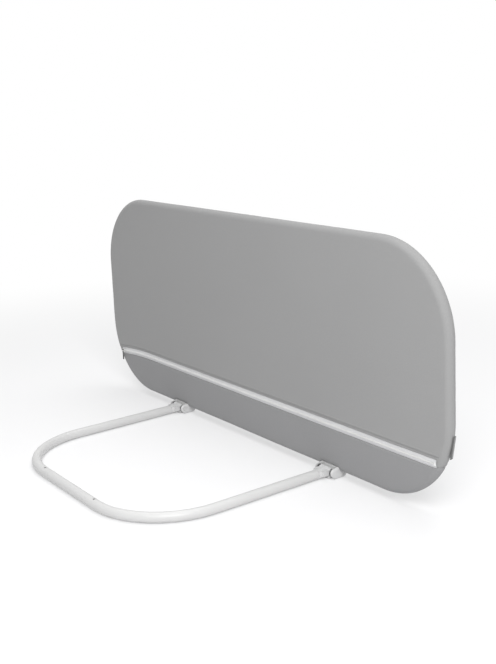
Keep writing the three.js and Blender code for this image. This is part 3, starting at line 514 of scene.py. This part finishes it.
sheets = {"inner": {"name": "coverInnerCloth", "node": "cover_inner", "flat": (1.128, 0.386),
                    "area": 0.419, "cloth": fabric, "slot": "grey_fabric"},
          "lower": {"name": "coverLowerCloth", "node": "cover_lower", "flat": (1.075, 0.094),
                    "area": 0.088, "cloth": lowerFabricPaintedShade, "slot": "lower_fabric"},
          "outer": {"name": "coverOuterCloth", "node": "cover_outer", "flat": (1.098, 0.448),
                    "area": 0.471, "cloth": fabric, "slot": "grey_fabric"}}
envelope.faces.index_update()
indexes = {key: {f.index for f in faces} for key, faces in regions.items()}
for key, panel in sheets.items():
    part = envelope.copy()
    part.faces.ensure_lookup_table()
    unwanted = [f for f in part.faces if f.index not in indexes[key]]
    bmesh.ops.delete(part, geom=unwanted, context="FACES")
    piece = finishPiece(panel["name"], part, [panel["cloth"]], "guard")
    thicken(piece, cover["cloth"])
    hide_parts(panel["node"])
    print(panel["name"], len(piece.data.polygons), "faces")
envelope.free()

# Zip: two woven tapes that run under the cloth, the coil between them
tapes = {"outerReach": 12.0, "innerReach": 0.3, "endGap": 0.4, "segments": 260, "rows": 8,
         "showDepth": 0.95, "underDepth": 1.9, "dive": 2.4, "cloth": 0.5}
for name, side in (("zipTapeUpper", 1), ("zipTapeLower", -1)):
    work = bmesh.new()
    bmesh.ops.create_grid(work, x_segments=tapes["segments"], y_segments=tapes["rows"], size=0.5)
    tapeLength = zipper["right"] - zipper["left"] - 2 * tapes["endGap"]
    for vert in work.verts:
        x = zipper["left"] + tapes["endGap"] + (vert.co.x + 0.5) * tapeLength
        out = tapes["innerReach"] + (vert.co.y + 0.5) * (tapes["outerReach"] - tapes["innerReach"])
        z = zipper["middle"] - droopAt(x) + side * out
        under = smooth((out - zipper["half"] + tapes["dive"]) / tapes["dive"])
        sunk = tapes["showDepth"] + (tapes["underDepth"] - tapes["showDepth"]) * under
        vert.co = (x, sunk - faceDepth(x, z), z)
    work.normal_update()
    if sum(f.normal.y for f in work.faces) > 0:
        bmesh.ops.reverse_faces(work, faces=work.faces)
    piece = finishPiece(name, work, [tapeWeave], "guard")
    thicken(piece, tapes["cloth"])
    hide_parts("zip_tape_upper" if side > 0 else "zip_tape_lower")

# Coil: hooked turns of monofilament from both tapes, closed into one row
coil = {"pitch": 2.2, "halfLength": 1.9, "radius": 0.55, "height": 0.8, "front": 0.1, "from": -508.6,
        "to": 516.2, "stagger": 0.25, "apart": 0.75}
work = bmesh.new()
turnShape = Matrix.Diagonal((coil["radius"], coil["height"], coil["halfLength"], 1))
turnCount = int((coil["to"] - coil["from"]) / coil["pitch"])
for i in range(turnCount):
    for side in (-1, 1):
        x = coil["from"] + coil["pitch"] * (i + 0.5 + side * coil["stagger"])
        z = zipper["middle"] - droopAt(x) + side * coil["apart"]
        place = Matrix.Translation((x, coil["front"] - faceDepth(x, z), z))
        bmesh.ops.create_icosphere(work, subdivisions=1, radius=1.0, matrix=place @ turnShape)
coilPiece = finishPiece("zipCoilTurns", work, [nylon], "guard")
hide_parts("zip_coil")
print("zip made:", turnCount, "turns")

# Seams: rows of lockstitch above and under the zip, at its two ends and round the back of the rim
stitch = {"pitch": 4.2, "half": 1.55, "radius": 0.28, "proud": 0.05, "aboveZip": 9.6, "underZip": 9.4,
          "hem": 16.4, "hemProud": 0.6, "endGap": 2.0, "hemLeft": 14.0, "hemRight": 10.0, "ahead": 2.0,
          "endRow": 2.2, "endLow": 6.0, "endHigh": 8.0, "rimY": 9.2, "rimOut": 6.1, "hingeGap": 2.0}
work = bmesh.new()


def addStitch(place, along):
    turn = Vector(along).normalized().to_track_quat("X", "Z").to_matrix().to_4x4()
    shape = Matrix.Diagonal((stitch["half"], stitch["radius"], stitch["radius"], 1))
    bmesh.ops.create_icosphere(work, subdivisions=1, radius=1.0,
                               matrix=Matrix.Translation(place) @ turn @ shape)


def sewAlongZip(leftGap, rightGap, above, proud):
    for x in steps(zipper["left"] + leftGap, zipper["right"] - rightGap, stitch["pitch"]):
        z = zipper["middle"] - droopAt(x) + above
        ahead = zipper["middle"] - droopAt(x + stitch["ahead"]) + above
        addStitch((x, -faceDepth(x, z) - proud, z), (stitch["ahead"], 0, ahead - z))


for row in (stitch["aboveZip"], -stitch["underZip"]):
    sewAlongZip(stitch["endGap"], stitch["endGap"], row, stitch["proud"])
sewAlongZip(stitch["hemLeft"], stitch["hemRight"], stitch["hem"], stitch["hemProud"])
for x in (zipper["left"] - stitch["endRow"], zipper["right"] + stitch["endRow"]):
    low, high = zipper["middle"] - stitch["endLow"], zipper["middle"] + stitch["endHigh"]
    for z in steps(low, high, stitch["pitch"]):
        z -= droopAt(x)
        addStitch((x, -faceDepth(x, z) - stitch["proud"], z), (0, 0, 1))

# the row round the rim, clockwise from the top left: straight sides with their way along and out,
# and quarter turns with the angle that they start from
straightSides = (((-flatX, flatHigh + skeleton), (1, 0), (0, 1), 2 * flatX),
                 ((flatX + skeleton, flatHigh), (0, -1), (1, 0), flatHigh - flatLow),
                 ((flatX, flatLow - skeleton), (-1, 0), (0, -1), 2 * flatX),
                 ((-flatX - skeleton, flatLow), (0, 1), (-1, 0), flatHigh - flatLow))
quarterTurns = (((flatX, flatHigh), math.pi / 2), ((flatX, flatLow), 0),
                ((-flatX, flatLow), -math.pi / 2), ((-flatX, flatHigh), -math.pi))
quarter = math.pi * skeleton / 2


def onRim(run):
    # place, way along and way out after so many millimetres of the row
    for straight, ((midX, midZ), start) in zip(straightSides, quarterTurns):
        (startX, startZ), along, out, side = straight
        if run <= side:
            return (startX + along[0] * run, startZ + along[1] * run), along, out
        run -= side
        if run <= quarter:
            turned = start - run / skeleton
            out = (math.cos(turned), math.sin(turned))
            return (midX + skeleton * out[0], midZ + skeleton * out[1]), (out[1], -out[0]), out
        run -= quarter


rimLength = sum(side[-1] for side in straightSides) + 4 * quarter
for i in range(int(rimLength / stitch["pitch"])):
    (x, z), along, out = onRim(i * stitch["pitch"])
    place = Vector((x + out[0] * stitch["rimOut"], stitch["rimY"], z + out[1] * stitch["rimOut"]))
    if not overHinge(place, hinges["cutTop"], stitch["hingeGap"]):
        addStitch(place, (along[0], 0, along[1]))
ballFaces = 20  # of each stitch
stitches = finishPiece("seamStitches", work, [thread], "guard")
print("stitches sewn:", len(stitches.data.polygons) // ballFaces)

# Tag: a ribbon folded double. Its upper half is sewn in the rim seam and lies forward on the rim,
# and below that it hangs straight while the rim curves away from it.
tag = {"bottom": 110.4, "top": 149.6, "root": 38.0, "free": -9.0, "near": 11.4, "far": 12.6, "lift": 3,
       "apart": 0.7, "foldFrom": 0.4, "foldSpan": 0.2, "lean": 0.185, "cloth": 0.35, "rows": 16,
       "turns": 14, "paleFrom": 0.16, "paleTo": 0.34, "ahead": 0.01}
tagTopArm = math.sqrt(skeleton ** 2 - (flatLow - tag["top"]) ** 2)


def ribbonPoint(share):
    # from the seam at the root to the ribbon's fold on the front of the rim
    angle = math.radians(tag["root"] + (tag["free"] - tag["root"]) * share)
    out = tag["near"] + (tag["far"] - tag["near"]) * smooth(tag["lift"] * share)
    return Vector((out * math.cos(angle), out * math.sin(angle)))


work = bmesh.new()
bmesh.ops.create_grid(work, x_segments=tag["turns"], y_segments=tag["rows"], size=0.5)
for face in work.faces:
    # both layers of the ribbon are paler along their middle
    isPale = tag["paleFrom"] < abs(face.calc_center_median().x) < tag["paleTo"]
    face.material_index = 1 if isPale else 0
for vert in work.verts:
    run = vert.co.x + 0.5
    z = tag["bottom"] + (vert.co.y + 0.5) * (tag["top"] - tag["bottom"])
    share = 1 - abs(2 * run - 1)
    place = ribbonPoint(share)
    along = (ribbonPoint(share + tag["ahead"]) - ribbonPoint(share - tag["ahead"])).normalized()
    spread = tag["apart"] * smooth((run - tag["foldFrom"]) / tag["foldSpan"])
    place += Vector((-along.y, along.x)) * spread
    vert.co = (flatX + tagTopArm - tag["lean"] * (tag["top"] - z) + place.x, place.y, z)
work.normal_update()
tagPiece = finishPiece("sideTagRibbon", work, [tagDark, tagPale], "guard")
thicken(tagPiece, tag["cloth"], 0.0)
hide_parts("side_tag")
print("tag folded")

# Camera, as the photograph was taken
shot = {"azimuth": 54.304, "elevation": 10.2444, "roll": -2.3887, "distance": 2.04106,
        "target": (0.0073959, mm(planeY), 0.3681218), "focalPixels": 1032.2024, "longSide": 664,
        "sensor": 36.0, "shiftPixels": -70.0, "clipEnd": 50.0}
turn, rise, roll = (math.radians(shot[k]) for k in ("azimuth", "elevation", "roll"))
backward = Vector((math.sin(turn) * math.cos(rise), -math.cos(turn) * math.cos(rise), math.sin(rise)))
level = Vector((0, 0, 1)).cross(backward).normalized()
upright = backward.cross(level)
rightward = level * math.cos(roll) + upright * math.sin(roll)
upward = upright * math.cos(roll) - level * math.sin(roll)
lensData = bpy.data.cameras.new("camera")
lensData.sensor_width = shot["sensor"]
lensData.lens = shot["focalPixels"] / shot["longSide"] * shot["sensor"]
lensData.shift_y = shot["shiftPixels"] / shot["longSide"]
lensData.clip_end = shot["clipEnd"]
camera = addObject("camera", lensData)
spot = Vector(shot["target"]) + backward * shot["distance"]
turned = Matrix((rightward, upward, backward)).transposed().to_4x4()
camera.matrix_world = Matrix.Translation(spot) @ turned
bpy.context.scene.camera = camera
bpy.context.scene.view_settings.view_transform = "Standard"

# Floor, world and lamps
studio = {"floorSize": 14.0, "paper": "#ebebec", "fadeFrom": 0.8, "fadeTo": 2.0, "glowShare": 0.4,
          "worldStrength": 0.42, "aim": (0, 0.1, 0.2)}
lamps = {"topLamp": {"watts": 43.5, "size": 2.6, "place": (-0.3, 0.6, 2.8)},
         "sideLamp": {"watts": 54.0, "size": 1.4, "place": (1.8, -1.0, 1.8)}}
white = (1, 1, 1, 1)


def seenDirectly(tree):
    # what the camera sees, also by reflection and through glass
    rays = addNode(tree, "ShaderNodeLightPath")
    seen = rays.outputs["Is Camera Ray"]
    for kind in ("Is Glossy Ray", "Is Transmission Ray"):
        seen = addNode(tree, "ShaderNodeMath", {"operation": "MAXIMUM"},
                       {0: seen, 1: rays.outputs[kind]}).outputs[0]
    return seen


work = bmesh.new()
bmesh.ops.create_grid(work, x_segments=1, y_segments=1, size=studio["floorSize"] / 2)
floorData = bpy.data.meshes.new("floor")
work.to_mesh(floorData)
work.free()
floor = addObject("floor", floorData)
# the paper keeps its shadows near the object and fades to plain white further out
paleFloor, tree = newMaterial("palePaper")
floorPlace = addNode(tree, "ShaderNodeTexCoord")
away = addNode(tree, "ShaderNodeVectorMath", {"operation": "LENGTH"}, {0: floorPlace.outputs["Object"]})
faded = addNode(tree, "ShaderNodeMapRange",
                {"interpolation_type": "SMOOTHSTEP", "From Min": studio["fadeFrom"],
                 "From Max": studio["fadeTo"], "To Min": studio["glowShare"], "To Max": 1.0},
                {"Value": away.outputs["Value"]})
share = addNode(tree, "ShaderNodeMath", {"operation": "MULTIPLY"},
                {0: seenDirectly(tree), 1: faded.outputs[0]})
paper = addNode(tree, "ShaderNodeBsdfDiffuse", {"Color": linearColour(studio["paper"])})
glow = addNode(tree, "ShaderNodeEmission", {"Color": white, "Strength": 1.0})
floorMix = addNode(tree, "ShaderNodeMixShader", {},
                   {0: share.outputs[0], 1: paper.outputs[0], 2: glow.outputs[0]})
addNode(tree, "ShaderNodeOutputMaterial", {}, {"Surface": floorMix.outputs[0]})
floorData.materials.append(paleFloor)

world = bpy.data.worlds.new("studio")
world.use_nodes = True
tree = world.node_tree
tree.nodes.clear()
bpy.context.scene.world = world
soft = addNode(tree, "ShaderNodeBackground", {"Color": white, "Strength": studio["worldStrength"]})
plain = addNode(tree, "ShaderNodeBackground", {"Color": white, "Strength": 1.0})
worldMix = addNode(tree, "ShaderNodeMixShader", {},
                   {0: seenDirectly(tree), 1: soft.outputs[0], 2: plain.outputs[0]})
addNode(tree, "ShaderNodeOutputWorld", {}, {"Surface": worldMix.outputs[0]})

for name, lampSet in lamps.items():
    lampData = bpy.data.lights.new(name, "AREA")
    lampData.energy = lampSet["watts"]
    lampData.size = lampSet["size"]
    lamp = addObject(name, lampData)
    lamp.location = lampSet["place"]
    lamp.visible_camera = False
    aim = Vector(studio["aim"]) - lamp.location
    lamp.rotation_euler = aim.to_track_quat("-Z", "Y").to_euler()
print("camera, floor and lamps set")
